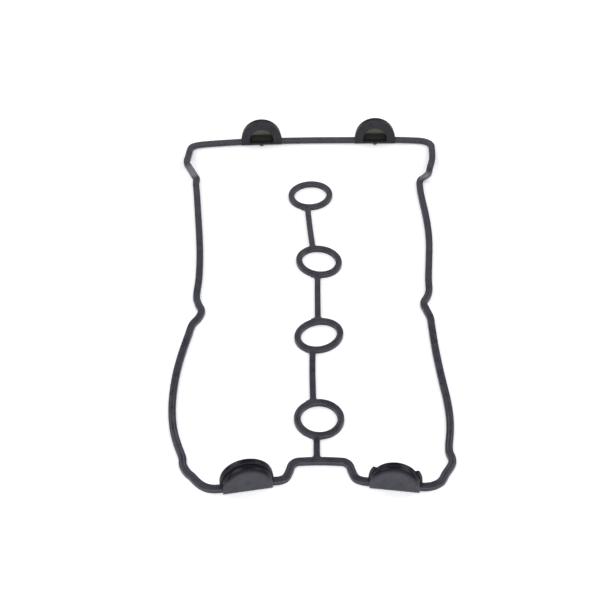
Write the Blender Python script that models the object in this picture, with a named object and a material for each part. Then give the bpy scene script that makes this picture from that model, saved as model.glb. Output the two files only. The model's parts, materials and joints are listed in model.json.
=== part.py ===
"""Valve cover gasket for a four cylinder motorcycle engine.

One piece of moulded black rubber: a closed rail that follows the cover's edge,
four half-moon plugs that fill the open ends of the camshaft bores, and a chain
of four rings that seal the spark plug wells. It is modelled as it lies on a
table, cover side down, so the half-moons stand up.

Axes: +X to the right side run, +Y towards the timing end, +Z up. The origin is
on the table, under the middle of the outline.
"""
import math

import bmesh
import bpy
from mathutils import Matrix, Vector
from mathutils.geometry import interpolate_bezier

MM = 0.001

# The rail: a flat strip with two fine sealing lips along its top
RAIL_WIDTH = 5.0 * MM
RAIL_HEIGHT = 3.2 * MM
EDGE_CHAMFER = 0.4 * MM
LIP_SPACING = 2.2 * MM
LIP_WIDTH = 1.0 * MM
LIP_HEIGHT = 0.25 * MM

# The spark plug well rings and the webs that join them
BORE_PITCH = 80.0 * MM
WELL_DIAMETER = 25.1 * MM
RING_WALL = 4.4 * MM
WEB_WIDTH = 4.2 * MM
WEB_HEIGHT = 3.0 * MM
WEB_FILLET = 1.6 * MM

# The half-moon plugs, one at each end of both camshafts
CAM_SPACING = 93.0 * MM
CAM_AXIS_HEIGHT = 4.2 * MM
PLUG_RADIUS = 16.0 * MM
PLUG_OUTER_STEP = 1.8 * MM
PLUG_INNER_STEP = 1.1 * MM
PLUG_EDGE = 0.5 * MM
FLANGE_OVERHANG = 1.2 * MM
FLANGE_THICKNESS = 2.6 * MM
TORN_WIDTH = 29.0 * MM
TORN_DEPTH = 1.2 * MM
RELIEF_WIDTH = 0.9 * MM
RELIEF_DEPTH = 0.5 * MM
POCKET_RADIUS = 9.7 * MM
POCKET_DEPTH = 5.2 * MM
POCKET_FLOOR = 1.8 * MM
POCKET_ROUNDING = 2.4 * MM
NUB_LENGTH = 1.4 * MM
NUB_WIDTH = 4.0 * MM
NUB_HEIGHT = 2.4 * MM

# Where the rail runs: its sides and the bridge's ends from the camshafts, the rest from
# the chain of rings
LEFT_CLEARANCE = 43.5 * MM
RIGHT_CLEARANCE = 36.5 * MM
BRIDGE_DISTANCE = 37.8 * MM
BRIDGE_CLEARANCE = 32.3 * MM
BRIDGE_OFFSET = 0.7 * MM
NEAR_DISTANCE = 56.9 * MM
TIMING_DISTANCE = 72.9 * MM
CHAIN_OFFSET = 1.2 * MM

# How the soft part lies: the rail steps up to a crest before the timing end
CREST_HEIGHT = 7.0 * MM
TIMING_LEAN = math.radians(5.5)

# Fineness of the facets
PATH_STEPS = 2
RING_FACETS = 32
ARCH_FACETS = 18
OVERLAP = 0.4 * MM
FOOT_STEP = 0.05 * MM

# Each ring from the near end: drift across and along, share pulled oval, and its long way
RING_LIE = (
    (0.0 * MM, 0.0 * MM, 0.020, math.radians(97)),
    (0.3 * MM, 0.5 * MM, 0.075, math.radians(40)),
    (0.8 * MM, 0.5 * MM, 0.045, math.radians(133)),
    (-5.4 * MM, 0.0 * MM, 0.032, math.radians(36)),
)
# Each web from the near end: how far its start, middle and end lie beside the chain
WEB_LIE = (
    (-1.7 * MM, -1.7 * MM, -1.7 * MM),
    (-3.9 * MM, -4.3 * MM, -4.2 * MM),
    (-0.3 * MM, -0.4 * MM, -0.3 * MM),
    (-3.7 * MM, -5.9 * MM, -7.6 * MM),
)
# Each plug: side, end, drift across and along, and how far the rail under it is turned
PLUG_LIE = {
    "near_left": (-1, -1, -0.6 * MM, -0.5 * MM, math.radians(10.7)),
    "near_right": (1, -1, 0.1 * MM, 0.3 * MM, math.radians(-7.0)),
    "timing_right": (1, 1, 0.2 * MM, 0.8 * MM, math.radians(0.6)),
    "timing_left": (-1, 1, 0.0 * MM, -1.5 * MM, math.radians(3.0)),
}
TORN_PLUG = "near_right"


def new_collection(name):
    collection = bpy.data.collections.new(name)
    bpy.context.scene.collection.children.link(collection)
    return collection


def mesh_object(name, curve_object):
    """Make a curve object into a plain mesh object, with its caps welded on."""
    bpy.context.view_layer.update()
    graph = bpy.context.evaluated_depsgraph_get()
    mesh = bpy.data.meshes.new_from_object(curve_object.evaluated_get(graph))
    mesh.transform(curve_object.matrix_world)
    curve = curve_object.data
    bpy.data.objects.remove(curve_object)
    bpy.data.curves.remove(curve)
    work = bmesh.new()
    work.from_mesh(mesh)
    bmesh.ops.remove_doubles(work, verts=work.verts, dist=0.001 * MM)
    bmesh.ops.recalc_face_normals(work, faces=work.faces)
    work.to_mesh(mesh)
    work.free()
    return bpy.data.objects.new(name, mesh)


def extrude(name, outline, depth, frame, edge=0.0):
    """Extrude a flat outline, given as (x, y) of a frame, along the frame's +Z."""
    curve = bpy.data.curves.new(name, "CURVE")
    curve.dimensions = "2D"
    curve.fill_mode = "BOTH"
    curve.extrude = depth / 2 - edge
    curve.bevel_depth = edge
    curve.bevel_resolution = 0
    curve.offset = -edge
    spline = curve.splines.new("POLY")
    spline.points.add(len(outline) - 1)
    for point, (x, y) in zip(spline.points, outline):
        point.co = (x, y, 0, 1)
    spline.use_cyclic_u = True
    flat = bpy.data.objects.new(name, curve)
    bpy.context.scene.collection.objects.link(flat)
    flat.matrix_world = frame @ Matrix.Translation((0, 0, depth / 2))
    return mesh_object(name, flat)


def slab(name, outline, start, end, frame, edge=0.0):
    """Extrude an outline that stands up, given as (x, z), from y = start to y = end."""
    upright = Matrix.Translation((0, end, 0)) @ Matrix.Rotation(math.radians(90), 4, "X")
    return extrude(name, outline, end - start, frame @ upright, edge)


def strip_section(width):
    """The rail's and the rings' section, standing on its flat cover face at height 0."""
    side = width / 2
    lip = LIP_SPACING / 2
    top = RAIL_HEIGHT
    right = [
        (side, 0),
        (side, top - EDGE_CHAMFER),
        (side - EDGE_CHAMFER, top),
        (lip + LIP_WIDTH / 2, top),
        (lip, top + LIP_HEIGHT),
        (lip - LIP_WIDTH / 2, top),
    ]
    left = [(-x, z) for x, z in reversed(right)]
    return right + left


def sweep(name, path, section, closed=True):
    """Sweep a section along a path of (point, roll), keeping its top side up."""
    profile = bpy.data.curves.new(name + "_section", "CURVE")
    profile.dimensions = "2D"
    shape = profile.splines.new("POLY")
    shape.points.add(len(section) - 1)
    for point, (x, z) in zip(shape.points, section):
        point.co = (x, z, 0, 1)
    shape.use_cyclic_u = True
    profile_object = bpy.data.objects.new(name + "_section", profile)
    bpy.context.scene.collection.objects.link(profile_object)

    curve = bpy.data.curves.new(name, "CURVE")
    curve.dimensions = "3D"
    curve.twist_mode = "Z_UP"
    curve.bevel_mode = "OBJECT"
    curve.bevel_object = profile_object
    curve.use_fill_caps = not closed
    spline = curve.splines.new("POLY")
    spline.points.add(len(path) - 1)
    for point, (place, roll) in zip(spline.points, path):
        point.co = (*place, 1)
        point.tilt = roll
    spline.use_cyclic_u = closed
    run = bpy.data.objects.new(name, curve)
    bpy.context.scene.collection.objects.link(run)
    solid = mesh_object(name, run)
    bpy.data.objects.remove(profile_object)
    bpy.data.curves.remove(profile)
    return solid


def smooth_loop(stations):
    """Run a smooth closed curve through stations of (x, y, height, roll)."""
    count = len(stations)
    places = [Vector(station[:3]) for station in stations]
    path = []
    for index in range(count):
        before, start, end, after = (places[(index + shift) % count] for shift in (-1, 0, 1, 2))
        reach = (end - start).length / 3
        leave = (end - before).normalized() * reach
        arrive = (after - start).normalized() * reach
        points = interpolate_bezier(start, start + leave, end - arrive, end, PATH_STEPS + 1)
        roll_start = stations[index][3]
        roll_end = stations[(index + 1) % count][3]
        for step in range(PATH_STEPS):
            place = points[step]
            place.z = max(place.z, 0.0)
            share = step / PATH_STEPS
            path.append((place, roll_start + (roll_end - roll_start) * share))
    return path


def plug_frame(name):
    """The frame of a plug: +X along the rail, +Y out of the engine, +Z up."""
    side, end, across, along, turn = PLUG_LIE[name]
    x = CHAIN_OFFSET + side * CAM_SPACING / 2 + across
    if end < 0:
        place = Matrix.Translation((x, -NEAR_DISTANCE + along, 0))
        return place @ Matrix.Rotation(turn + math.pi, 4, "Z")
    place = Matrix.Translation((x, 3 * BORE_PITCH + TIMING_DISTANCE + along, timing_lift()))
    lean = Matrix.Rotation(-TIMING_LEAN, 4, "X")
    return place @ Matrix.Rotation(turn, 4, "Z") @ lean


def timing_lift():
    """Height that keeps the leaning plug's outer foot on the table."""
    return (RAIL_WIDTH / 2 + PLUG_OUTER_STEP) * math.sin(TIMING_LEAN)


def rail_under_plug(name, order):
    """Two stations that carry the rail straight under a plug."""
    frame = plug_frame(name)
    roll = TIMING_LEAN if PLUG_LIE[name][1] > 0 else 0.0
    reach = PLUG_RADIUS + FLANGE_OVERHANG
    return [(*(frame @ Vector((order * sign * reach, 0, 0))), roll) for sign in (-1, 1)]


def rail_stations():
    """The rail's middle line, right way round from the bridge by the near ring."""
    near_step = NEAR_DISTANCE - BRIDGE_DISTANCE
    timing_line = 3 * BORE_PITCH + TIMING_DISTANCE
    right_side = CAM_SPACING / 2 + RIGHT_CLEARANCE
    left_side = CAM_SPACING / 2 + LEFT_CLEARANCE
    bridge_end = CAM_SPACING / 2 - BRIDGE_CLEARANCE

    # From the bridge out to a near plug: distance past the bridge, share of the step back
    turn_out = [
        (0.0 * MM, 0.00),
        (4.1 * MM, 0.15),
        (5.8 * MM, 0.45),
        (8.2 * MM, 0.73),
        (12.1 * MM, 0.84),
    ]
    # From a near plug into the side run: distance in from the side, past the near line
    right_corner = [
        (14.5 * MM, 1.7 * MM),
        (9.8 * MM, 0.3 * MM),
        (5.5 * MM, -2.9 * MM),
    ]
    left_corner = [
        (23.5 * MM, 4.0 * MM),
        (19.0 * MM, 3.3 * MM),
        (15.0 * MM, 1.0 * MM),
        (11.8 * MM, -2.1 * MM),
        (8.6 * MM, -6.2 * MM),
    ]
    # Side runs: distance out from the side, then along in bore pitches from the near ring
    right_run = [
        (-2.5 * MM, -0.60),
        (0.3 * MM, -0.54),
        (2.4 * MM, -0.485),
        (2.4 * MM, -0.43),
        (1.2 * MM, -0.37),
        (1.3 * MM, -0.30),
        (3.0 * MM, -0.13),
        (3.6 * MM, 0.03),
        (2.9 * MM, 0.22),
        (1.2 * MM, 0.42),
        (-0.7 * MM, 0.67),
        (-2.0 * MM, 0.90),
        (-2.8 * MM, 1.12),
        (-3.3 * MM, 1.24),
        (-5.4 * MM, 1.335),
        (-7.1 * MM, 1.43),
        (-4.2 * MM, 1.515),
        (-2.4 * MM, 1.60),
        (-2.0 * MM, 1.76),
        (-0.4 * MM, 2.02),
        (1.0 * MM, 2.27),
        (1.2 * MM, 2.47),
        (0.3 * MM, 2.71),
        (-1.2 * MM, 2.93),
        (-1.9 * MM, 3.08),
        (-1.9 * MM, 3.19),
    ]
    left_run = [
        (-5.6 * MM, -0.595),
        (-2.3 * MM, -0.515),
        (-1.6 * MM, -0.44),
        (2.4 * MM, -0.29),
        (5.6 * MM, -0.14),
        (7.7 * MM, 0.05),
        (8.3 * MM, 0.26),
        (7.4 * MM, 0.51),
        (5.0 * MM, 0.75),
        (1.3 * MM, 1.01),
        (-0.8 * MM, 1.14),
        (-5.0 * MM, 1.235),
        (-6.5 * MM, 1.32),
        (-4.1 * MM, 1.40),
        (-2.1 * MM, 1.50),
        (-2.7 * MM, 1.75),
        (-2.1 * MM, 2.05),
        (-0.4 * MM, 2.36),
        (2.0 * MM, 2.69),
        (4.2 * MM, 2.99),
        (5.9 * MM, 3.20),
    ]
    # Steps up at the timing end: distance out, short of the timing line, share of the crest
    right_step = [
        (-0.9 * MM, 53.4 * MM, 0.10),
        (2.4 * MM, 52.4 * MM, 0.52),
        (5.9 * MM, 51.2 * MM, 0.97),
        (6.3 * MM, 46.5 * MM, 1.00),
        (7.6 * MM, 40.5 * MM, 0.90),
        (9.1 * MM, 32.2 * MM, 0.70),
        (9.9 * MM, 23.5 * MM, 0.46),
        (10.3 * MM, 12.7 * MM, 0.18),
        (10.2 * MM, 7.3 * MM, 0.10),
    ]
    right_shoulder = [
        (8.0 * MM, 3.1 * MM),
        (3.5 * MM, 0.6 * MM),
        (-4.0 * MM, -0.4 * MM),
    ]
    left_step = [
        (7.7 * MM, 50.2 * MM, 0.12),
        (11.0 * MM, 45.5 * MM, 0.63),
        (13.6 * MM, 41.3 * MM, 0.97),
        (13.8 * MM, 35.3 * MM, 0.92),
        (13.3 * MM, 27.5 * MM, 0.67),
        (12.9 * MM, 17.0 * MM, 0.31),
        (11.6 * MM, 10.3 * MM, 0.13),
    ]
    left_shoulder = [
        (7.4 * MM, 7.1 * MM),
        (-1.5 * MM, 5.3 * MM),
        (-16.5 * MM, 3.5 * MM),
    ]

    def out_of_bridge(side):
        reaches = [(side * (bridge_end + past), share) for past, share in turn_out]
        return [
            (BRIDGE_OFFSET + reach, -BRIDGE_DISTANCE - share * near_step, 0, 0)
            for reach, share in reaches
        ]

    def corner(side, width, table):
        return [(side * (width - short), -NEAR_DISTANCE - past, 0, 0) for short, past in table]

    def run(side, width, table):
        return [(side * (width + out), pitches * BORE_PITCH, 0, 0) for out, pitches in table]

    def step_up(side, width, table):
        return [
            (side * (width + out), timing_line - short, share * CREST_HEIGHT, 0)
            for out, short, share in table
        ]

    def shoulder(side, width, table):
        return [
            (side * (width + out), timing_line - short, timing_lift(), TIMING_LEAN)
            for out, short in table
        ]

    right = out_of_bridge(1)
    right += rail_under_plug("near_right", -1)
    right += corner(1, right_side, right_corner)
    right += run(1, right_side, right_run)
    right += step_up(1, right_side, right_step)
    right += shoulder(1, right_side, right_shoulder)

    timing = rail_under_plug("timing_right", -1)
    timing.append((0, timing_line + 0.3 * MM, timing_lift(), TIMING_LEAN))
    timing += rail_under_plug("timing_left", -1)

    left = shoulder(-1, left_side, left_shoulder)[::-1]
    left += step_up(-1, left_side, left_step)[::-1]
    left += run(-1, left_side, left_run)[::-1]
    left += corner(-1, left_side, left_corner)[::-1]
    left += rail_under_plug("near_left", -1)
    left += out_of_bridge(-1)[::-1]
    return right + timing + left


def arch(radius, foot, torn_width=0.0):
    """A half-moon outline: an arc round the camshaft's axis on two straight legs.

    Where it is torn, over the top, the arc drops inside the plug's own radius.
    """
    drop = PLUG_RADIUS - TORN_DEPTH
    outline = [(radius, foot)]
    for step in range(ARCH_FACETS + 1):
        angle = math.pi * step / ARCH_FACETS
        reach = drop if abs(radius * math.cos(angle)) < torn_width / 2 else radius
        outline.append((reach * math.cos(angle), CAM_AXIS_HEIGHT + reach * math.sin(angle)))
    outline.append((-radius, foot))
    return outline


def ring_path(index):
    """The middle line of a ring, pulled slightly oval as the soft part lies."""
    across, along, pull, turn = RING_LIE[index]
    radius = (WELL_DIAMETER + RING_WALL) / 2
    centre = Vector((across, index * BORE_PITCH + along, 0))
    path = []
    for step in range(RING_FACETS):
        angle = 2 * math.pi * step / RING_FACETS
        oval = Vector((radius * (1 + pull) * math.cos(angle), radius * (1 - pull) * math.sin(angle), 0))
        path.append((centre + Matrix.Rotation(turn, 3, "Z") @ oval, 0.0))
    return path


def web_outline(start, middle, end):
    """A web's plan outline: a narrow strip whose ends flare out as fillets."""
    half = WEB_WIDTH / 2
    length = (end - start).length
    along = (end - start).normalized()
    bow = (middle - (start + end) / 2).dot(Vector((along.y, -along.x)))
    side = []
    for share in (0.2, 0.35, 0.5, 0.65, 0.8):
        side.append((share * length, half))
    flare = []
    for step in range(5):
        angle = math.radians(90) * step / 4
        reach = WEB_FILLET * (1 - math.sin(angle))
        flare.append((WEB_FILLET * (1 - math.cos(angle)), half + reach))
    upper = flare + side + [(length - x, y) for x, y in reversed(flare)]
    lower = [(x, -y) for x, y in reversed(upper)]
    outline = []
    for x, y in upper + lower:
        sway = bow * math.sin(math.pi * x / length)
        place = start + along * x + Vector((along.y, -along.x)) * (sway - y)
        outline.append(place)
    return outline


def ring_edge(index, direction, x):
    """Where a web meets a ring: a point just inside the ring's outer wall."""
    across, along = RING_LIE[index][:2]
    radius = WELL_DIAMETER / 2 + RING_WALL - WEB_FILLET / 2
    rise = math.sqrt(radius ** 2 - (x - across) ** 2)
    return Vector((x, index * BORE_PITCH + along + direction * rise))


def make_web(index):
    start_x, middle_x, end_x = WEB_LIE[index]
    if index == 0:
        start = Vector((start_x, -BRIDGE_DISTANCE + RAIL_WIDTH / 2 - OVERLAP))
    else:
        start = ring_edge(index - 1, 1, start_x)
    end = ring_edge(index, -1, end_x)
    middle = Vector((middle_x, (start.y + end.y) / 2))
    outline = web_outline(start, middle, end)
    raised = Matrix.Translation((0, 0, FOOT_STEP))
    return extrude(f"web_{index + 1}", outline, WEB_HEIGHT, raised)


def make_plug(name):
    """The solids of one half-moon plug, and the pocket that hollows it."""
    frame = plug_frame(name)
    inner = -RAIL_WIDTH / 2 - PLUG_INNER_STEP
    outer = RAIL_WIDTH / 2 + PLUG_OUTER_STEP
    flange_front = inner + FLANGE_THICKNESS
    body_back = flange_front + RELIEF_WIDTH
    neck_radius = PLUG_RADIUS - RELIEF_DEPTH
    flange_radius = PLUG_RADIUS + FLANGE_OVERHANG
    torn = TORN_WIDTH if name == TORN_PLUG else 0.0
    neck = (flange_front - OVERLAP, body_back + OVERLAP)

    solids = [
        slab(f"{name}_body", arch(PLUG_RADIUS, FOOT_STEP), body_back, outer, frame, PLUG_EDGE),
        slab(f"{name}_neck", arch(neck_radius, 3 * FOOT_STEP), *neck, frame),
        slab(f"{name}_flange", arch(flange_radius, 2 * FOOT_STEP, torn), inner, flange_front, frame),
    ]
    nub = [
        (-NUB_WIDTH / 2, inner + OVERLAP),
        (0, inner - NUB_LENGTH),
        (NUB_WIDTH / 2, inner + OVERLAP),
    ]
    nub_foot = frame @ Matrix.Translation((0, 0, 5 * FOOT_STEP))
    solids.append(extrude(f"{name}_nub", nub, NUB_HEIGHT, nub_foot))

    pocket = slab(
        f"{name}_pocket",
        arch(POCKET_RADIUS, POCKET_FLOOR),
        inner - POCKET_DEPTH,
        inner + POCKET_DEPTH,
        frame,
        POCKET_ROUNDING,
    )
    return solids, pocket


def rubber():
    """Matt black nitrile rubber."""
    material = bpy.data.materials.new("black_rubber")
    material.use_nodes = True
    shader = material.node_tree.nodes["Principled BSDF"]
    shader.inputs["Base Color"].default_value = (0.045, 0.044, 0.052, 1)
    shader.inputs["Roughness"].default_value = 0.55
    shader.inputs["Metallic"].default_value = 0.0
    return material


def combine(body, operation, tools):
    """Join a whole collection of solids to the body, or cut it away."""
    modifier = body.modifiers.new(operation.lower(), "BOOLEAN")
    modifier.operation = operation
    modifier.solver = "EXACT"
    modifier.operand_type = "COLLECTION"
    modifier.collection = tools
    for tool in tools.objects:
        tool.hide_render = True
        tool.display_type = "WIRE"


def stand_on_origin(body):
    """Hang every solid on one empty, and move it so the outline's middle is at the origin."""
    table = bpy.data.objects.new("table_middle", None)
    bpy.context.scene.collection.objects.link(table)
    for solid in [body, *moulded_on.objects, *hollows.objects]:
        solid.parent = table
    bpy.context.view_layer.update()
    finished = body.evaluated_get(bpy.context.evaluated_depsgraph_get())
    corners = [Vector(corner) for corner in finished.bound_box]
    low = Vector(min(corner[axis] for corner in corners) for axis in range(3))
    high = Vector(max(corner[axis] for corner in corners) for axis in range(3))
    table.location = (-(low.x + high.x) / 2, -(low.y + high.y) / 2, -low.z)


for old in list(bpy.data.objects):
    bpy.data.objects.remove(old)

gasket_parts = new_collection("valve_cover_gasket")
moulded_on = new_collection("moulded_on")
hollows = new_collection("hollows")

gasket = sweep("valve_cover_gasket", smooth_loop(rail_stations()), strip_section(RAIL_WIDTH))
gasket_parts.objects.link(gasket)

for ring in range(len(RING_LIE)):
    moulded_on.objects.link(sweep(f"ring_{ring + 1}", ring_path(ring), strip_section(RING_WALL)))
for web in range(len(WEB_LIE)):
    moulded_on.objects.link(make_web(web))
for plug in PLUG_LIE:
    plug_solids, plug_pocket = make_plug(plug)
    for solid in plug_solids:
        moulded_on.objects.link(solid)
    hollows.objects.link(plug_pocket)

combine(gasket, "UNION", moulded_on)
combine(gasket, "DIFFERENCE", hollows)
gasket.data.materials.append(rubber())
gasket.data.shade_smooth()
gasket.data.set_sharp_from_angle(angle=math.radians(35))
stand_on_origin(gasket)
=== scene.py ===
"""Studio scene of a moulded rubber valve cover gasket, lying cover side down."""
import json
import math

import bmesh
import bpy
from mathutils import Matrix, Vector
from mathutils.geometry import interpolate_bezier

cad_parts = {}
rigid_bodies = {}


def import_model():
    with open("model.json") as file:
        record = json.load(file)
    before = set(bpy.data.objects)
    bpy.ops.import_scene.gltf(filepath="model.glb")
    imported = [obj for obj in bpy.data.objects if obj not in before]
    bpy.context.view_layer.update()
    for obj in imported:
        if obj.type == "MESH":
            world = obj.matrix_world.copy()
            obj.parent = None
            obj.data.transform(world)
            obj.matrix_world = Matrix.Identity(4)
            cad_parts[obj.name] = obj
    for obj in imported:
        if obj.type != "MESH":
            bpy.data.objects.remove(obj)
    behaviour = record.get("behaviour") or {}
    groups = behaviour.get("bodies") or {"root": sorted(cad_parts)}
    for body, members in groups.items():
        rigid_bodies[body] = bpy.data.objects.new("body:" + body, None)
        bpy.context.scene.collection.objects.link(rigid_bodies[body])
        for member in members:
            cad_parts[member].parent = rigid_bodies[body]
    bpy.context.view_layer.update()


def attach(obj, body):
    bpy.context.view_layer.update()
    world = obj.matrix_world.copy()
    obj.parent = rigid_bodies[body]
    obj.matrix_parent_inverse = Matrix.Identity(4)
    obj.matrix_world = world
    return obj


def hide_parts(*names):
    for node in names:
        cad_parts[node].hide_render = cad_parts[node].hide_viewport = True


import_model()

MM = 0.001

# The rubber.
# Black nitrile, cured in a steel mould: a dull skin with a fine matt grain, faint
# flow mottling and pale dust caught in the grain. Light and shade are painted on too: a
# painted sheen on the steps, painted shade on the plugs, and in the pockets an olive
# colour painted as light high up, with black painted as shade below.


def shader_group(name, inputs, outputs):
    """An empty shader group with its sockets, and the two nodes at its ends."""
    group = bpy.data.node_groups.new(name, "ShaderNodeTree")
    for label, kind, value in inputs:
        socket = group.interface.new_socket(label, in_out="INPUT", socket_type=kind)
        if value is not None:
            socket.default_value = value
    for label, kind in outputs:
        group.interface.new_socket(label, in_out="OUTPUT", socket_type=kind)
    entry = group.nodes.new("NodeGroupInput")
    leave = group.nodes.new("NodeGroupOutput")
    return group, entry, leave


def mottling_group():
    """Cloudy patches and small pale flecks, as moulded rubber has under soft light."""
    group, entry, leave = shader_group(
        "rubber_mottling",
        (
            ("Position", "NodeSocketVector", None),
            ("Cloud size", "NodeSocketFloat", 170.0),
            ("Fleck size", "NodeSocketFloat", 900.0),
        ),
        (("Clouds", "NodeSocketFloat"), ("Flecks", "NodeSocketFloat")),
    )
    clouds = group.nodes.new("ShaderNodeTexNoise")
    clouds.inputs["Detail"].default_value = 4.0
    clouds.inputs["Roughness"].default_value = 0.55
    flecks = group.nodes.new("ShaderNodeTexNoise")
    flecks.inputs["Detail"].default_value = 2.0
    flecks.inputs["Roughness"].default_value = 0.6
    spread = group.nodes.new("ShaderNodeMapRange")
    spread.inputs["From Min"].default_value = 0.36
    spread.inputs["From Max"].default_value = 0.64
    pick = group.nodes.new("ShaderNodeMapRange")
    pick.inputs["From Min"].default_value = 0.52
    pick.inputs["From Max"].default_value = 0.78
    link = group.links.new
    link(entry.outputs["Position"], clouds.inputs["Vector"])
    link(entry.outputs["Position"], flecks.inputs["Vector"])
    link(entry.outputs["Cloud size"], clouds.inputs["Scale"])
    link(entry.outputs["Fleck size"], flecks.inputs["Scale"])
    link(clouds.outputs["Fac"], spread.inputs["Value"])
    link(flecks.outputs["Fac"], pick.inputs["Value"])
    link(spread.outputs["Result"], leave.inputs["Clouds"])
    link(pick.outputs["Result"], leave.inputs["Flecks"])
    return group


def grain_group():
    """The mould's matt grain with shallow dimples, as one height."""
    group, entry, leave = shader_group(
        "moulded_grain",
        (
            ("Position", "NodeSocketVector", None),
            ("Grain size", "NodeSocketFloat", 3200.0),
            ("Dimple size", "NodeSocketFloat", 420.0),
            ("Dimple share", "NodeSocketFloat", 0.3),
        ),
        (("Height", "NodeSocketFloat"),),
    )
    fine = group.nodes.new("ShaderNodeTexNoise")
    fine.inputs["Detail"].default_value = 3.0
    broad = group.nodes.new("ShaderNodeTexNoise")
    broad.inputs["Detail"].default_value = 2.0
    both = group.nodes.new("ShaderNodeMix")
    link = group.links.new
    link(entry.outputs["Position"], fine.inputs["Vector"])
    link(entry.outputs["Position"], broad.inputs["Vector"])
    link(entry.outputs["Grain size"], fine.inputs["Scale"])
    link(entry.outputs["Dimple size"], broad.inputs["Scale"])
    link(entry.outputs["Dimple share"], both.inputs[0])
    link(fine.outputs["Fac"], both.inputs[2])
    link(broad.outputs["Fac"], both.inputs[3])
    link(both.outputs[0], leave.inputs["Height"])
    return group


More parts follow.
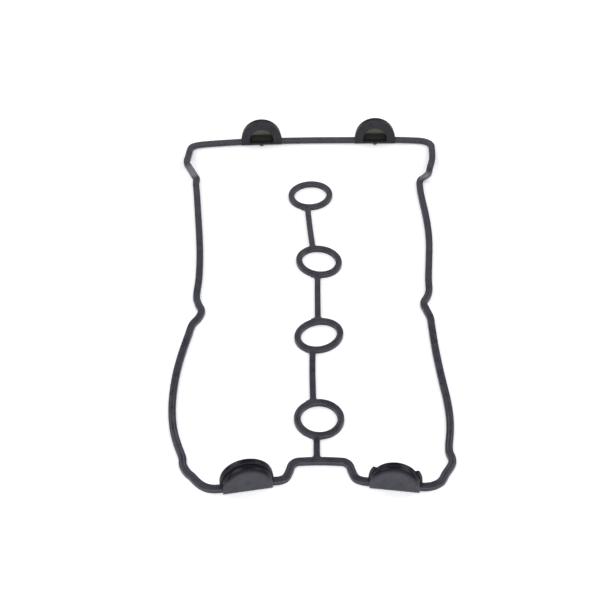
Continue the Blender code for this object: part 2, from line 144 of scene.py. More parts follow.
def rubber_material():
    """The rubber's skin: mottled colour, painted sheen, light and shade, and a matt grain."""
    material = bpy.data.materials.new("black_rubber")
    material.use_nodes = True
    nodes = material.node_tree.nodes
    link = material.node_tree.links.new
    shader = nodes["Principled BSDF"]
    shader.inputs["Metallic"].default_value = 0.0
    shader.inputs["IOR"].default_value = 1.52

    place = nodes.new("ShaderNodeTexCoord")
    mottling = nodes.new("ShaderNodeGroup")
    mottling.node_tree = mottling_group()
    grain = nodes.new("ShaderNodeGroup")
    grain.node_tree = grain_group()
    link(place.outputs["Object"], mottling.inputs["Position"])
    link(place.outputs["Object"], grain.inputs["Position"])

    cloudy = nodes.new("ShaderNodeMix")
    cloudy.data_type = "RGBA"
    cloudy.inputs[6].default_value = (0.018, 0.0175, 0.026, 1)
    cloudy.inputs[7].default_value = (0.031, 0.030, 0.043, 1)
    link(mottling.outputs["Clouds"], cloudy.inputs[0])

    flecked = nodes.new("ShaderNodeMix")
    flecked.data_type = "RGBA"
    flecked.inputs[7].default_value = (0.080, 0.078, 0.094, 1)
    share = nodes.new("ShaderNodeMath")
    share.operation = "MULTIPLY"
    share.inputs[1].default_value = 0.35
    link(mottling.outputs["Flecks"], share.inputs[0])
    link(share.outputs[0], flecked.inputs[0])
    link(cloudy.outputs[2], flecked.inputs[6])

    # Where the rail steps up, its slope gets a painted sheen: a pale colour for the overhead
    # light it catches
    painted_sheen = nodes.new("ShaderNodeAttribute")
    painted_sheen.attribute_name = "painted_sheen"
    pale = nodes.new("ShaderNodeMix")
    pale.data_type = "RGBA"
    pale.inputs[7].default_value = (0.118, 0.116, 0.136, 1)
    link(painted_sheen.outputs["Fac"], pale.inputs[0])
    link(flecked.outputs[2], pale.inputs[6])

    # The plugs' arched tops and engine sides get painted shade, a near black colour, which
    # fades out on their outer faces towards the middle
    painted_shade = nodes.new("ShaderNodeAttribute")
    painted_shade.attribute_name = "painted_shade"
    outer = nodes.new("ShaderNodeAttribute")
    outer.attribute_name = "outer_face"
    in_plug = nodes.new("ShaderNodeAttribute")
    in_plug.attribute_name = "place_in_plug"
    reach = nodes.new("ShaderNodeVectorMath")
    reach.operation = "LENGTH"
    fade = nodes.new("ShaderNodeMapRange")
    fade.interpolation_type = "SMOOTHSTEP"
    fade.inputs["From Min"].default_value = 11.8
    fade.inputs["From Max"].default_value = 15.8
    height = nodes.new("ShaderNodeSeparateXYZ")
    high_up = nodes.new("ShaderNodeMapRange")
    high_up.inputs["From Min"].default_value = 2.0
    high_up.inputs["From Max"].default_value = 10.0
    link(in_plug.outputs["Vector"], reach.inputs[0])
    link(in_plug.outputs["Vector"], height.inputs[0])
    link(reach.outputs["Value"], fade.inputs["Value"])
    link(height.outputs["Z"], high_up.inputs["Value"])
    link(high_up.outputs["Result"], fade.inputs["To Max"])
    shade_share = nodes.new("ShaderNodeMath")
    shade_share.operation = "MULTIPLY_ADD"
    link(outer.outputs["Fac"], shade_share.inputs[0])
    link(fade.outputs["Result"], shade_share.inputs[1])
    link(painted_shade.outputs["Fac"], shade_share.inputs[2])
    dark = nodes.new("ShaderNodeMix")
    dark.data_type = "RGBA"
    dark.inputs[7].default_value = (0.007, 0.007, 0.011, 1)
    link(shade_share.outputs[0], dark.inputs[0])
    link(pale.outputs[2], dark.inputs[6])

    # High up in the pockets an olive colour is painted light, and below it black is painted shade
    lit_high_up = nodes.new("ShaderNodeMapRange")
    lit_high_up.inputs["From Min"].default_value = 2.0
    lit_high_up.inputs["From Max"].default_value = 3.4
    link(height.outputs["Z"], lit_high_up.inputs["Value"])
    pocket_light_and_shade = nodes.new("ShaderNodeMix")
    pocket_light_and_shade.data_type = "RGBA"
    pocket_light_and_shade.inputs[6].default_value = (0.005, 0.005, 0.004, 1)
    pocket_light_and_shade.inputs[7].default_value = (0.125, 0.129, 0.080, 1)
    link(lit_high_up.outputs["Result"], pocket_light_and_shade.inputs[0])
    pocket = nodes.new("ShaderNodeAttribute")
    pocket.attribute_name = "pocket"
    with_pocket_paint = nodes.new("ShaderNodeMix")
    with_pocket_paint.data_type = "RGBA"
    link(pocket.outputs["Fac"], with_pocket_paint.inputs[0])
    link(dark.outputs[2], with_pocket_paint.inputs[6])
    link(pocket_light_and_shade.outputs[2], with_pocket_paint.inputs[7])
    link(with_pocket_paint.outputs[2], shader.inputs["Base Color"])

    dull = nodes.new("ShaderNodeMapRange")
    dull.inputs["To Min"].default_value = 0.27
    dull.inputs["To Max"].default_value = 0.32
    link(mottling.outputs["Clouds"], dull.inputs["Value"])
    sheen = nodes.new("ShaderNodeMix")
    sheen.inputs[3].default_value = 0.75
    link(pocket.outputs["Fac"], sheen.inputs[0])
    link(dull.outputs["Result"], sheen.inputs[2])
    link(sheen.outputs[0], shader.inputs["Roughness"])
    gloss = nodes.new("ShaderNodeMix")
    gloss.inputs[2].default_value = 0.5
    gloss.inputs[3].default_value = 0.12
    link(shade_share.outputs[0], gloss.inputs[0])
    link(gloss.outputs[0], shader.inputs["Specular IOR Level"])

    bump = nodes.new("ShaderNodeBump")
    bump.inputs["Strength"].default_value = 0.35
    bump.inputs["Distance"].default_value = 0.00006
    link(grain.outputs["Height"], bump.inputs["Height"])
    link(bump.outputs["Normal"], shader.inputs["Normal"])
    return material


rubber = rubber_material()

# The outer rail.
# One closed strip, 5 mm wide, flat on its cover side, with rounded edges and two fine
# sealing lips on its head side. It is swept along the bent line that the soft part lies in.
RAIL_WIDTH = 5.0 * MM
RAIL_HEIGHT = 3.2 * MM
NEAR_RING = Vector((5.248 * MM, -127.685 * MM, 0))
BORE_PITCH = 80.0 * MM
CAM_SPACING = 93.0 * MM
CHAIN_OFFSET = 1.2 * MM
LEFT_CLEARANCE = 43.5 * MM
RIGHT_CLEARANCE = 36.5 * MM
BRIDGE_DISTANCE = 37.8 * MM
BRIDGE_OFFSET = 0.7 * MM
NEAR_DISTANCE = 56.9 * MM
TIMING_DISTANCE = 72.9 * MM
TIMING_LINE = 3 * BORE_PITCH + TIMING_DISTANCE
CREST_HEIGHT = 7.0 * MM
TIMING_LEAN = math.radians(5.5)
PLUG_OUTER_STEP = 1.8 * MM
TIMING_LIFT = (RAIL_WIDTH / 2 + PLUG_OUTER_STEP) * math.sin(TIMING_LEAN)
# How each plug lies: side, end, shift across, shift along, turn
PLUG_LIE = {
    "near_left": (-1, -1, -0.6 * MM, -0.5 * MM, math.radians(10.7)),
    "near_right": (1, -1, 0.1 * MM, 0.3 * MM, math.radians(-7.0)),
    "timing_right": (1, 1, -0.3 * MM, 0.8 * MM, math.radians(0.6)),
    "timing_left": (-1, 1, 0.0 * MM, -1.5 * MM, math.radians(3.0)),
}
PLUG_REACH = 17.2 * MM


def geometry_tree(name, inputs):
    """An empty geometry tree with its sockets, and the two nodes at its ends."""
    tree = bpy.data.node_groups.new(name, "GeometryNodeTree")
    tree.interface.new_socket("Geometry", in_out="INPUT", socket_type="NodeSocketGeometry")
    for label, kind, value in inputs:
        socket = tree.interface.new_socket(label, in_out="INPUT", socket_type=kind)
        if value is not None:
            socket.default_value = value
    tree.interface.new_socket("Geometry", in_out="OUTPUT", socket_type="NodeSocketGeometry")
    return tree, tree.nodes.new("NodeGroupInput"), tree.nodes.new("NodeGroupOutput")


def number(tree, operation, first, second, third=None):
    """One sum in a tree; each term is a socket or a plain number."""
    node = tree.nodes.new("ShaderNodeMath")
    node.operation = operation
    for socket, term in zip(node.inputs, (first, second, third)):
        if term is None:
            continue
        if isinstance(term, (int, float)):
            socket.default_value = term
        else:
            tree.links.new(term, socket)
    return node.outputs[0]


def moulded_strip_tree():
    """Sweep the gasket's strip section along a path, with its lips upwards."""
    tree, entry, leave = geometry_tree(
        "moulded_strip",
        (
            ("Width", "NodeSocketFloat", RAIL_WIDTH),
            ("Height", "NodeSocketFloat", RAIL_HEIGHT),
            ("Edge radius", "NodeSocketFloat", 0.45 * MM),
            ("Lip spacing", "NodeSocketFloat", 2.2 * MM),
            ("Lip width", "NodeSocketFloat", 0.8 * MM),
            ("Lip height", "NodeSocketFloat", 0.13 * MM),
            ("Flash", "NodeSocketFloat", 0.07 * MM),
            ("Material", "NodeSocketMaterial", None),
        ),
    )
    link = tree.links.new
    sizes = entry.outputs

    strip = tree.nodes.new("GeometryNodeCurvePrimitiveQuadrilateral")
    link(sizes["Width"], strip.inputs["Width"])
    link(sizes["Height"], strip.inputs["Height"])
    rounded = tree.nodes.new("GeometryNodeFilletCurve")
    rounded.mode = "POLY"
    rounded.inputs["Count"].default_value = 4
    link(strip.outputs["Curve"], rounded.inputs["Curve"])
    link(sizes["Edge radius"], rounded.inputs["Radius"])

    # Cuts along the top edge for the lips, and along the sides for the flash line
    place = tree.nodes.new("GeometryNodeInputPosition")
    split = tree.nodes.new("ShaderNodeSeparateXYZ")
    link(place.outputs[0], split.inputs[0])
    across, up = split.outputs["X"], split.outputs["Y"]
    half_height = number(tree, "MULTIPLY", sizes["Height"], 0.5)
    half_width = number(tree, "MULTIPLY", sizes["Width"], 0.5)
    from_middle = number(tree, "ABSOLUTE", across, 0)
    below_top = number(tree, "SUBTRACT", half_height, 0.001 * MM)
    inside_edge = number(tree, "SUBTRACT", half_width, 0.001 * MM)
    near_top = number(tree, "GREATER_THAN", up, below_top)
    on_side = number(tree, "GREATER_THAN", from_middle, inside_edge)
    top_cuts = number(tree, "MULTIPLY", near_top, 25)
    side_cuts = number(tree, "MULTIPLY", on_side, 5)
    cuts = number(tree, "ADD", top_cuts, side_cuts)
    divided = tree.nodes.new("GeometryNodeSubdivideCurve")
    link(rounded.outputs["Curve"], divided.inputs["Curve"])
    link(cuts, divided.inputs["Cuts"])

    # Each lip is a smooth hump over its own middle line
    lip_middle = number(tree, "MULTIPLY", sizes["Lip spacing"], 0.5)
    half_lip = number(tree, "MULTIPLY", sizes["Lip width"], 0.5)
    off_lip = number(tree, "ABSOLUTE", number(tree, "SUBTRACT", from_middle, lip_middle), 0)
    off_share = number(tree, "MINIMUM", 1.0, number(tree, "DIVIDE", off_lip, half_lip))
    hump = number(tree, "SUBTRACT", 1.0, off_share)
    squared = number(tree, "MULTIPLY", hump, hump)
    easing = number(tree, "SUBTRACT", 3.0, number(tree, "MULTIPLY", hump, 2.0))
    soft = number(tree, "MULTIPLY", squared, easing)
    rise = number(tree, "MULTIPLY", number(tree, "MULTIPLY", soft, sizes["Lip height"]), near_top)
    # The flash stands out at mid height on both sides
    mid = number(tree, "LESS_THAN", number(tree, "ABSOLUTE", up, 0), 0.12 * MM)
    mid_side = number(tree, "MULTIPLY", mid, number(tree, "SIGN", across, 0))
    flash = number(tree, "MULTIPLY", on_side, sizes["Flash"])
    swell = number(tree, "MULTIPLY", mid_side, flash)
    # A path's own side points down, so the section is turned over as it is set on its foot
    height_here = number(tree, "ADD", number(tree, "ADD", up, half_height), rise)
    placed = tree.nodes.new("ShaderNodeCombineXYZ")
    link(number(tree, "ADD", across, swell), placed.inputs["X"])
    link(number(tree, "MULTIPLY", height_here, -1), placed.inputs["Y"])
    lipped = tree.nodes.new("GeometryNodeSetPosition")
    link(divided.outputs["Curve"], lipped.inputs["Geometry"])
    link(placed.outputs[0], lipped.inputs["Position"])

    upright = tree.nodes.new("GeometryNodeSetCurveNormal")
    upright.mode = "Z_UP"
    link(sizes["Geometry"], upright.inputs["Curve"])
    swept = tree.nodes.new("GeometryNodeCurveToMesh")
    link(upright.outputs["Curve"], swept.inputs["Curve"])
    link(lipped.outputs["Geometry"], swept.inputs["Profile Curve"])
    real = tree.nodes.new("GeometryNodeRealizeInstances")
    link(swept.outputs["Mesh"], real.inputs["Geometry"])
    finish = tree.nodes.new("GeometryNodeSetMaterial")
    link(real.outputs["Geometry"], finish.inputs["Geometry"])
    link(sizes["Material"], finish.inputs["Material"])
    link(finish.outputs["Geometry"], leave.inputs["Geometry"])
    return tree


strip_tree = moulded_strip_tree()


def outward(mesh):
    """Weld a closed mesh and turn all its faces outwards."""
    work = bmesh.new()
    work.from_mesh(mesh)
    bmesh.ops.remove_doubles(work, verts=work.verts, dist=0.002 * MM)
    bmesh.ops.recalc_face_normals(work, faces=work.faces)
    work.to_mesh(mesh)
    work.free()


def moulded_strip(name, path, **sizes):
    """A strip along a closed path of (point, roll), as a plain mesh object."""
    curve = bpy.data.curves.new(name, "CURVE")
    curve.dimensions = "3D"
    spline = curve.splines.new("POLY")
    spline.points.add(len(path) - 1)
    for point, (place, roll) in zip(spline.points, path):
        point.co = (*(place + NEAR_RING), 1)
        point.tilt = roll
    spline.use_cyclic_u = True
    run = bpy.data.objects.new(name, curve)
    bpy.context.scene.collection.objects.link(run)
    modifier = run.modifiers.new("strip", "NODES")
    modifier.node_group = strip_tree
    sizes["Material"] = rubber
    for item in strip_tree.interface.items_tree:
        if item.in_out == "INPUT" and item.name in sizes:
            modifier[item.identifier] = sizes[item.name]
    bpy.context.view_layer.update()
    graph = bpy.context.evaluated_depsgraph_get()
    mesh = bpy.data.meshes.new_from_object(run.evaluated_get(graph))
    bpy.data.objects.remove(run)
    outward(mesh)
    return bpy.data.objects.new(name, mesh)


def plug_frame(name):
    """The frame of a half-moon plug: +X along the rail, +Y out of the engine, +Z up."""
    side, end, across, along, turn = PLUG_LIE[name]
    x = CHAIN_OFFSET + side * CAM_SPACING / 2 + across
    if end < 0:
        place = Matrix.Translation((x, -NEAR_DISTANCE + along, 0))
        return place @ Matrix.Rotation(turn + math.pi, 4, "Z")
    place = Matrix.Translation((x, TIMING_LINE + along, TIMING_LIFT))
    lean = Matrix.Rotation(-TIMING_LEAN, 4, "X")
    return place @ Matrix.Rotation(turn, 4, "Z") @ lean


def rail_under_plug(name):
    """Two stations that carry the rail straight under a plug."""
    frame_here = plug_frame(name)
    roll = TIMING_LEAN if PLUG_LIE[name][1] > 0 else 0.0
    return [(*(frame_here @ Vector((-sign * PLUG_REACH, 0, 0))), roll) for sign in (-1, 1)]


def rail_line():
    """The rail's middle line, right way round from the bridge by the near ring."""
    right_side = CAM_SPACING / 2 + RIGHT_CLEARANCE
    left_side = CAM_SPACING / 2 + LEFT_CLEARANCE
    step_back = NEAR_DISTANCE - BRIDGE_DISTANCE
    # The distances in these tables are in millimetres
    bridge_end = 14.2
    # Distance past the bridge's end, and share of the step back to the near line
    turn_out = ((0.0, 0.00), (4.1, 0.15), (5.8, 0.45), (8.2, 0.73), (12.1, 0.84))
    # Distance in from the side, and past the near line
    right_corner = ((14.5, 1.7), (9.8, 0.3), (5.5, -2.9))
    left_corner = ((23.5, 4.0), (19.0, 3.3), (15.0, 1.0), (11.8, -2.1), (8.6, -6.2))
    # Distance out from the side, and bore pitches from the near ring
    right_run = (
        (-2.5, -0.60), (0.3, -0.54), (2.4, -0.485), (2.4, -0.43), (1.2, -0.37),
        (1.3, -0.30), (3.0, -0.13), (3.6, 0.03), (2.9, 0.22), (1.2, 0.42),
        (-0.7, 0.67), (-2.0, 0.90), (-2.8, 1.12), (-3.3, 1.24), (-5.4, 1.335),
        (-7.1, 1.43), (-4.2, 1.515), (-2.4, 1.60), (-2.0, 1.76), (-0.4, 2.02),
        (1.0, 2.27), (1.2, 2.47), (0.3, 2.71), (-1.2, 2.93), (-1.9, 3.06), (-2.1, 3.16),
    )
    left_run = (
        (-5.6, -0.595), (-2.3, -0.515), (-1.6, -0.44), (2.4, -0.29), (5.6, -0.14),
        (7.7, 0.05), (8.3, 0.26), (7.4, 0.51), (5.0, 0.75), (1.3, 1.01),
        (-0.8, 1.14), (-5.0, 1.235), (-6.5, 1.32), (-4.1, 1.40), (-2.1, 1.50),
        (-2.7, 1.75), (-2.1, 2.05), (-0.4, 2.36), (2.0, 2.69), (4.2, 2.99), (5.9, 3.20),
    )
    # Distance out from the side, short of the timing line, and share of the crest
    right_step = (
        (-1.9, 55.6, 0.03), (-0.8, 53.3, 0.10), (1.0, 52.8, 0.28), (3.4, 53.0, 0.62),
        (5.0, 52.3, 0.90), (5.7, 49.8, 1.00), (6.4, 46.0, 1.00), (7.6, 40.5, 0.90),
        (9.1, 32.2, 0.70), (9.9, 23.5, 0.46), (10.3, 12.7, 0.18), (10.2, 7.3, 0.10),
    )
    left_step = (
        (5.6, 52.6, 0.02), (6.9, 50.3, 0.14), (9.4, 47.2, 0.48), (11.9, 44.1, 0.82),
        (13.6, 41.5, 0.99), (13.9, 38.0, 0.98), (13.8, 34.6, 0.89), (13.3, 27.5, 0.67),
        (12.9, 17.0, 0.31), (11.6, 10.3, 0.13),
    )
    # Distance out from the side, and short of the timing line
    right_shoulder = ((8.0, 3.1), (3.5, 0.6), (-4.0, -0.4))
    left_shoulder = ((7.4, 7.1), (-1.5, 5.3), (-16.5, 3.5))

    def out_of_bridge(side):
        return [
            (
                BRIDGE_OFFSET + side * (bridge_end + past) * MM,
                -BRIDGE_DISTANCE - share * step_back, 0, 0,
            )
            for past, share in turn_out
        ]

    def side_of(side, width, corner, run, step, shoulder):
        stations = [(side * (width - x * MM), -NEAR_DISTANCE - y * MM, 0, 0) for x, y in corner]
        stations += [(side * (width + x * MM), y * BORE_PITCH, 0, 0) for x, y in run]
        stations += [
            (side * (width + x * MM), TIMING_LINE - y * MM, z * CREST_HEIGHT, 0)
            for x, y, z in step
        ]
        stations += [
            (side * (width + x * MM), TIMING_LINE - y * MM, TIMING_LIFT, TIMING_LEAN)
            for x, y in shoulder
        ]
        return stations

    right = side_of(1, right_side, right_corner, right_run, right_step, right_shoulder)
    left = side_of(-1, left_side, left_corner, left_run, left_step, left_shoulder)
    line = out_of_bridge(1) + rail_under_plug("near_right") + right
    line += rail_under_plug("timing_right")
    line.append((0, TIMING_LINE + 0.3 * MM, TIMING_LIFT, TIMING_LEAN))
    line += rail_under_plug("timing_left") + left[::-1]
    return line + rail_under_plug("near_left") + out_of_bridge(-1)[::-1]


def smooth_loop(stations, steps):
    """A smooth closed path through stations of (x, y, height, roll)."""
    count = len(stations)
    places = [Vector(station[:3]) for station in stations]
    path = []
    for index in range(count):
        before, start, end, after = (places[(index + shift) % count] for shift in (-1, 0, 1, 2))
        reach = (end - start).length / 3
        leave = (end - before).normalized() * reach
        arrive = (after - start).normalized() * reach
        points = interpolate_bezier(start, start + leave, end - arrive, end, steps + 1)
        rolls = stations[index][3], stations[(index + 1) % count][3]
        for step in range(steps):
            place = points[step]
            place.z = max(place.z, 0.0)
            path.append((place, rolls[0] + (rolls[1] - rolls[0]) * step / steps))
    return path


rail = moulded_strip("valve_cover_gasket_moulding", smooth_loop(rail_line(), 5))
bpy.context.scene.collection.objects.link(rail)

# The spark plug well rings.
# Four rings of the rail's own section, a little narrower, each pulled slightly oval.
WELL_DIAMETER = 25.1 * MM
RING_WALL = 4.4 * MM
RING_FACETS = 96
# How each ring lies: shift across, shift along, pull to an oval, turn of the oval
RING_LIE = (
    (0.0 * MM, 0.0 * MM, 0.020, math.radians(97)),
    (0.3 * MM, 0.5 * MM, 0.075, math.radians(40)),
    (0.8 * MM, 0.5 * MM, 0.045, math.radians(133)),
    (-5.4 * MM, 0.0 * MM, 0.032, math.radians(36)),
)
moulded_on = bpy.data.collections.new("moulded_on")


def ring_line(index):
    """The middle line of a ring, pulled slightly oval as the soft part lies."""
    across, along, pull, turn = RING_LIE[index]
    radius = (WELL_DIAMETER + RING_WALL) / 2
    centre = Vector((across, index * BORE_PITCH + along, 0))
    line = []
    for step in range(RING_FACETS):
        angle = math.tau * step / RING_FACETS
        x = radius * (1 + pull) * math.cos(angle)
        y = radius * (1 - pull) * math.sin(angle)
        line.append((centre + Matrix.Rotation(turn, 3, "Z") @ Vector((x, y, 0)), 0.0))
    return line


for ring in range(len(RING_LIE)):
    moulded_on.objects.link(moulded_strip(f"ring_{ring + 1}", ring_line(ring), Width=RING_WALL))

# The webs of the chain.
# Thin flat strips that hold the rings in line, with flared roots where they meet them.
WEB_WIDTH = 4.2 * MM
WEB_HEIGHT = 3.0 * MM
WEB_FLARE = 2.8 * MM
WEB_STUB = 1.2 * MM
WEB_EDGE = 0.3 * MM
RING_SINK = 0.7 * MM
BRIDGE_SINK = 0.15 * MM
FLARE_FACETS = 8
STRAIGHT_FACETS = 16
# The feet of what is joined to the rail start this much higher, so that no two lie flush
FOOT_STEP = 0.05 * MM
# Where each web's middle line runs, across: at its start, its middle and its end
WEB_LIE = (
    (-1.7 * MM, -1.7 * MM, -1.7 * MM),
    (-3.9 * MM, -4.3 * MM, -4.2 * MM),
    (-0.3 * MM, -0.4 * MM, -0.3 * MM),
    (-3.7 * MM, -5.9 * MM, -7.6 * MM),
)


def rounded_slab(name, outline, depth, stand, edge, fineness):
    """Extrude a flat outline along a frame's +Z, with its edges rounded."""
    curve = bpy.data.curves.new(name, "CURVE")
    curve.dimensions = "2D"
    curve.fill_mode = "BOTH"
    curve.extrude = depth / 2 - edge
    curve.bevel_depth = edge
    curve.bevel_resolution = fineness
    curve.offset = -edge
    spline = curve.splines.new("POLY")
    spline.points.add(len(outline) - 1)
    for point, (x, y) in zip(spline.points, outline):
        point.co = (x, y, 0, 1)
    spline.use_cyclic_u = True
    flat = bpy.data.objects.new(name, curve)
    bpy.context.scene.collection.objects.link(flat)
    bpy.context.view_layer.update()
    graph = bpy.context.evaluated_depsgraph_get()
    mesh = bpy.data.meshes.new_from_object(flat.evaluated_get(graph))
    bpy.data.objects.remove(flat)
    mesh.transform(Matrix.Translation(NEAR_RING) @ stand @ Matrix.Translation((0, 0, depth / 2)))
    outward(mesh)
    mesh.materials.clear()
    mesh.materials.append(rubber)
    return bpy.data.objects.new(name, mesh)


def web_root(index, direction, x):
    """Where a web meets a ring: a point just inside the ring's outer wall."""
    across, along = RING_LIE[index][:2]
    radius = WELL_DIAMETER / 2 + RING_WALL - RING_SINK
    rise = math.sqrt(radius ** 2 - (x - across) ** 2)
    return Vector((x, index * BORE_PITCH + along + direction * rise))


def web_outline(start, middle, end):
    """A web in plan: bowed through its middle, and flared where it meets the rings."""
    half = WEB_WIDTH / 2
    length = (end - start).length
    along = (end - start).normalized()
    beside = Vector((along.y, -along.x))
    bow = (middle - (start + end) / 2).dot(beside)
    flare = [(-WEB_STUB, half + WEB_FLARE)]
    for step in range(FLARE_FACETS + 1):
        angle = math.radians(90) * step / FLARE_FACETS
        x = WEB_FLARE * (1 - math.cos(angle))
        flare.append((x, half + WEB_FLARE * (1 - math.sin(angle))))
    between = length - 2 * WEB_FLARE
    straight = [
        (WEB_FLARE + between * step / STRAIGHT_FACETS, half) for step in range(1, STRAIGHT_FACETS)
    ]
    upper = flare + straight + [(length - x, y) for x, y in reversed(flare)]
    outline = []
    for x, y in upper + [(x, -y) for x, y in reversed(upper)]:
        outline.append(start + along * x + beside * (bow * math.sin(math.pi * x / length) - y))
    return outline


for web, (start_x, middle_x, end_x) in enumerate(WEB_LIE):
    if web == 0:
        root = Vector((start_x, -BRIDGE_DISTANCE + RAIL_WIDTH / 2 - BRIDGE_SINK))
    else:
        root = web_root(web - 1, 1, start_x)
    tip = web_root(web, -1, end_x)
    plan = web_outline(root, Vector((middle_x, (root.y + tip.y) / 2)), tip)
    raised = Matrix.Translation((0, 0, FOOT_STEP))
    moulded_on.objects.link(rounded_slab(f"web_{web + 1}", plan, WEB_HEIGHT, raised, WEB_EDGE, 2))

# The half-moon plugs.
# Each fills the open end of a camshaft bore: a solid body, a relief groove and a thin
# flange on one arch outline, with a rounded pocket and a small nub on the engine side.
PLUG_RADIUS = 16.0 * MM
CAM_AXIS_HEIGHT = 4.2 * MM
PLUG_INNER_STEP = 0.6 * MM
PLUG_INNER = -RAIL_WIDTH / 2 - PLUG_INNER_STEP
PLUG_OUTER = RAIL_WIDTH / 2 + PLUG_OUTER_STEP
PLUG_EDGE = 1.0 * MM
FLANGE_THICKNESS = 2.1 * MM
FLANGE_EDGE = 0.25 * MM
FLANGE_FRONT = PLUG_INNER + FLANGE_THICKNESS
# The near left flange reaches further into the engine, the timing ones less far out
FLANGE_SET_BACK = {
    "near_left": 1.3 * MM, "near_right": 0.0, "timing_right": 0.0, "timing_left": 0.0,
}
TIMING_FLANGE_CUT = 0.7 * MM
RELIEF_WIDTH = 0.9 * MM
RELIEF_DEPTH = 0.5 * MM
BODY_BACK = FLANGE_FRONT + RELIEF_WIDTH
TORN_WIDTH = 29.0 * MM
TORN_DEPTH = 1.2 * MM
POCKET_RADIUS = 9.7 * MM
POCKET_DEPTH = 5.2 * MM
POCKET_FLOOR = 1.8 * MM
POCKET_ROUNDING = 2.4 * MM
POCKET_END = PLUG_INNER + POCKET_DEPTH + 0.1 * MM
NUB_LENGTH = 2.0 * MM
NUB_HEIGHT = 2.4 * MM
NUB_HALF_FOOT = 2.6 * MM
NUB_HALF_TIP = 0.6 * MM
ARCH_FACETS = 72
hollows = bpy.data.collections.new("hollows")


def arch(radius, foot, torn_width=0.0):
    """A half-moon outline; where it is torn, the arc drops inside the plug's radius."""
    outline = [(radius, foot)]
    for step in range(ARCH_FACETS + 1):
        angle = math.pi * step / ARCH_FACETS
        reach = radius
        if abs(radius * math.cos(angle)) < torn_width / 2:
            reach = PLUG_RADIUS - TORN_DEPTH
        outline.append((reach * math.cos(angle), CAM_AXIS_HEIGHT + reach * math.sin(angle)))
    outline.append((-radius, foot))
    return outline


def standing_slab(name, outline, start, end, stand, edge, fineness=3):
    """Extrude an upright outline from y = start to y = end of a plug's frame."""
    upright = Matrix.Translation((0, end, 0)) @ Matrix.Rotation(math.radians(90), 4, "X")
    return rounded_slab(name, outline, end - start, stand @ upright, edge, fineness)


for plug in PLUG_LIE:
    stand = plug_frame(plug)
    torn = TORN_WIDTH if plug == "near_right" else 0.0
    flange_reach = PLUG_REACH - (TIMING_FLANGE_CUT if plug.startswith("timing") else 0.0)
    inner = PLUG_INNER - FLANGE_SET_BACK[plug]
    nub_foot, nub_tip = inner + 0.4 * MM, inner - NUB_LENGTH
    pieces = (
        standing_slab(
            f"{plug}_body", arch(PLUG_RADIUS, FOOT_STEP), BODY_BACK, PLUG_OUTER, stand, PLUG_EDGE,
        ),
        standing_slab(
            f"{plug}_neck", arch(PLUG_RADIUS - RELIEF_DEPTH, 3 * FOOT_STEP),
            FLANGE_FRONT - 0.4 * MM, BODY_BACK + 0.7 * MM, stand, 0.0,
        ),
        standing_slab(
            f"{plug}_flange", arch(flange_reach, 2 * FOOT_STEP, torn),
            inner, FLANGE_FRONT, stand, FLANGE_EDGE,
        ),
        rounded_slab(
            f"{plug}_nub",
            [
                (-NUB_HALF_FOOT, nub_foot), (-NUB_HALF_TIP, nub_tip),
                (NUB_HALF_TIP, nub_tip), (NUB_HALF_FOOT, nub_foot),
            ],
            NUB_HEIGHT, stand @ Matrix.Translation((0, 0, 5 * FOOT_STEP)), 0.0, 0,
        ),
    )
    for piece in pieces:
        moulded_on.objects.link(piece)
    hollows.objects.link(
        standing_slab(
            f"{plug}_pocket", arch(POCKET_RADIUS, POCKET_FLOOR), PLUG_INNER - POCKET_DEPTH,
            PLUG_INNER + POCKET_DEPTH, stand, POCKET_ROUNDING, 8,
        )
    )

# The whole moulding.
# Rail, rings, webs and plugs come out of one mould as one piece of rubber, so they are
# joined into one closed body, and the pockets are hollowed out of it.
for operation, tools in (("UNION", moulded_on), ("DIFFERENCE", hollows)):
    modifier = rail.modifiers.new(operation.lower(), "BOOLEAN")
    modifier.operation = operation
    modifier.solver = "MANIFOLD"
    modifier.operand_type = "COLLECTION"
    modifier.collection = tools
bpy.context.view_layer.update()
joined = bpy.data.meshes.new_from_object(
    rail.evaluated_get(bpy.context.evaluated_depsgraph_get())
)
rail.modifiers.clear()
rail.data = joined
for tools in (moulded_on, hollows):
    for tool in list(tools.objects):
        bpy.data.objects.remove(tool)
    bpy.data.collections.remove(tools)
joined.materials.clear()
joined.materials.append(rubber)
joined.shade_smooth()
joined.set_sharp_from_angle(angle=math.radians(32))

# What the rubber's look needs to know: the plugs' arched tops and engine sides for painted
# shade, the pockets for painted light and shade, the outer faces, places in mm from the cam
# axis, and the two steps for a painted sheen
for name in ("painted_shade", "pocket", "outer_face"):
    joined.attributes.new(name, "FLOAT", "FACE")
joined.attributes.new("painted_sheen", "FLOAT", "POINT")
joined.attributes.new("place_in_plug", "FLOAT_VECTOR", "POINT")
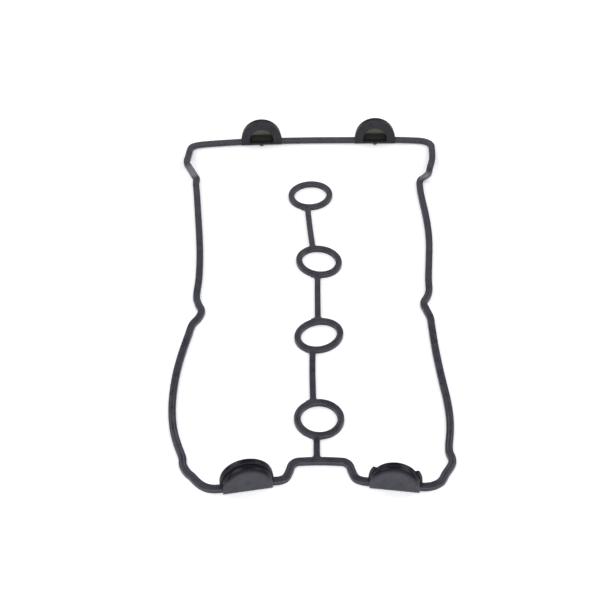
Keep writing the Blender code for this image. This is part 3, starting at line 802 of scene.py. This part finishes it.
# A new attribute can move the earlier ones, so they are looked up when all are there
painted_shade = joined.attributes["painted_shade"]
pocket = joined.attributes["pocket"]
outer_face = joined.attributes["outer_face"]
painted_sheen = joined.attributes["painted_sheen"]
place_in_plug = joined.attributes["place_in_plug"]
for plug in PLUG_LIE:
    way_in = (Matrix.Translation(NEAR_RING) @ plug_frame(plug)).inverted()
    turn_in = way_in.to_3x3()
    inner = PLUG_INNER - FLANGE_SET_BACK[plug]
    for face in joined.polygons:
        x, y, z = way_in @ face.center
        if not inner - 0.2 * MM < y < PLUG_OUTER + 0.2 * MM or abs(x) > PLUG_REACH + 0.5 * MM:
            continue
        reach = math.hypot(x, max(z - CAM_AXIS_HEIGHT, 0.0))
        facing = (turn_in @ face.normal).y
        in_pocket = reach < POCKET_RADIUS + 0.02 * MM and inner + 0.02 * MM < y < POCKET_END
        on_arch = reach > PLUG_RADIUS - 1.5 * MM and z > RAIL_HEIGHT and y > inner + 0.3 * MM
        # Pocket faces get the pocket's painted light and painted shade
        if in_pocket and z > POCKET_FLOOR - 0.01 * MM:
            pocket.data[face.index].value = 1.0
        # Engine sides and arched tops get painted shade, less on the back bevels and by height on
        # outer faces
        elif facing < -0.95 and y < inner + 0.1 * MM:
            painted_shade.data[face.index].value = 0.55
        elif facing < 0.95 and on_arch:
            high_up = min(1.0, max(0.0, (z - CAM_AXIS_HEIGHT - 2.0 * MM) / (8.0 * MM)))
            share = 0.15 if facing < -0.25 else high_up if facing > 0.25 else 1.0
            painted_shade.data[face.index].value = share
        elif facing > 0.95 and y > PLUG_OUTER - 0.1 * MM:
            outer_face.data[face.index].value = 1.0
    for vertex in joined.vertices:
        x, y, z = way_in @ vertex.co
        if math.hypot(x, y) < 1.3 * PLUG_REACH:
            place_in_plug.data[vertex.index].vector = (x / MM, 0, (z - CAM_AXIS_HEIGHT) / MM)
# The two steps get a painted sheen, strongest halfway up each climb
for vertex in joined.vertices:
    x, y, z = vertex.co - NEAR_RING
    climbed = (z - RAIL_HEIGHT) / CREST_HEIGHT
    short = (TIMING_LINE - y) / MM
    crest_starts = 41.0 if x < 0 else 50.0
    if 0.0 < climbed < 1.0 and crest_starts < short < 58.0:
        painted_sheen.data[vertex.index].value = min(1.0, 6.0 * climbed * (1.0 - climbed))

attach(rail, "root")
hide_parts("valve_cover_gasket")

# The studio.
# A plain white sweep under soft light from above, seen from the photograph's angle.


def plain_material(name, colour, camera_strength):
    """A matt white that still shows the object's shadow to the camera."""
    material = bpy.data.materials.new(name)
    material.use_nodes = True
    nodes = material.node_tree.nodes
    link = material.node_tree.links.new
    matt = nodes["Principled BSDF"]
    matt.inputs["Base Color"].default_value = (*colour, 1)
    matt.inputs["Roughness"].default_value = 0.9
    matt.inputs["Specular IOR Level"].default_value = 0.0
    glow = nodes.new("ShaderNodeEmission")
    glow.inputs["Color"].default_value = (*colour, 1)
    glow.inputs["Strength"].default_value = camera_strength
    rays = nodes.new("ShaderNodeLightPath")
    both = nodes.new("ShaderNodeAddShader")
    seen = nodes.new("ShaderNodeMixShader")
    link(matt.outputs[0], both.inputs[0])
    link(glow.outputs[0], both.inputs[1])
    link(rays.outputs["Is Camera Ray"], seen.inputs[0])
    link(matt.outputs[0], seen.inputs[1])
    link(both.outputs[0], seen.inputs[2])
    link(seen.outputs[0], nodes["Material Output"].inputs["Surface"])
    return material


FLOOR_REACH = 3.0
corners = [
    (-FLOOR_REACH, -FLOOR_REACH, 0), (FLOOR_REACH, -FLOOR_REACH, 0),
    (FLOOR_REACH, FLOOR_REACH, 0), (-FLOOR_REACH, FLOOR_REACH, 0),
]
floor_mesh = bpy.data.meshes.new("floor")
floor_mesh.from_pydata(corners, [], [(0, 1, 2, 3)])
floor_mesh.materials.append(plain_material("white_table", (0.92, 0.925, 0.94), 0.2))
floor = bpy.data.objects.new("floor", floor_mesh)
floor.location.z = -0.0001
bpy.context.scene.collection.objects.link(floor)


def soft_lamp(name, place, target, size, power):
    """A wide soft lamp at a place, turned towards its target."""
    data = bpy.data.lights.new(name, "AREA")
    data.shape = "RECTANGLE"
    data.size, data.size_y = size
    data.energy = power
    lamp = bpy.data.objects.new(name, data)
    bpy.context.scene.collection.objects.link(lamp)
    lamp.location = place
    lamp.rotation_euler = (Vector(target) - Vector(place)).to_track_quat("-Z", "Y").to_euler()


soft_lamp("overhead", (0.0, -0.55, 1.4), (0, -0.02, 0), (1.6, 0.6), 14)
soft_lamp("left", (-1.22, 0.65, 1.08), (0, 0, 0), (1.2, 1.0), 12.5)
soft_lamp("right", (1.22, 0.65, 1.08), (0, 0, 0), (1.2, 1.0), 12.5)
soft_lamp("back_low", (0.0, 1.5, 0.80), (0, 0.05, 0), (0.9, 0.7), 1.5)
soft_lamp("front_low", (0.0, -0.62, 0.085), (0, -0.19, 0), (0.8, 0.12), 1.6)

world = bpy.data.worlds.new("studio")
bpy.context.scene.world = world
world.use_nodes = True
sky = world.node_tree.nodes["Background"]
sky.inputs["Color"].default_value = (0.9, 0.92, 1.0, 1)
sky.inputs["Strength"].default_value = 0.15

view = bpy.data.cameras.new("photo_view")
view.sensor_width = 36.0
view.lens = 88.606
view.clip_start = 0.05
camera = bpy.data.objects.new("photo_view", view)
bpy.context.scene.collection.objects.link(camera)
camera.location = (-4.885 * MM, -802.165 * MM, 714.682 * MM)
camera.rotation_euler = (math.radians(90 - 41.989), 0, math.radians(0.215))
bpy.context.scene.camera = camera

bpy.context.scene.view_settings.view_transform = "Standard"
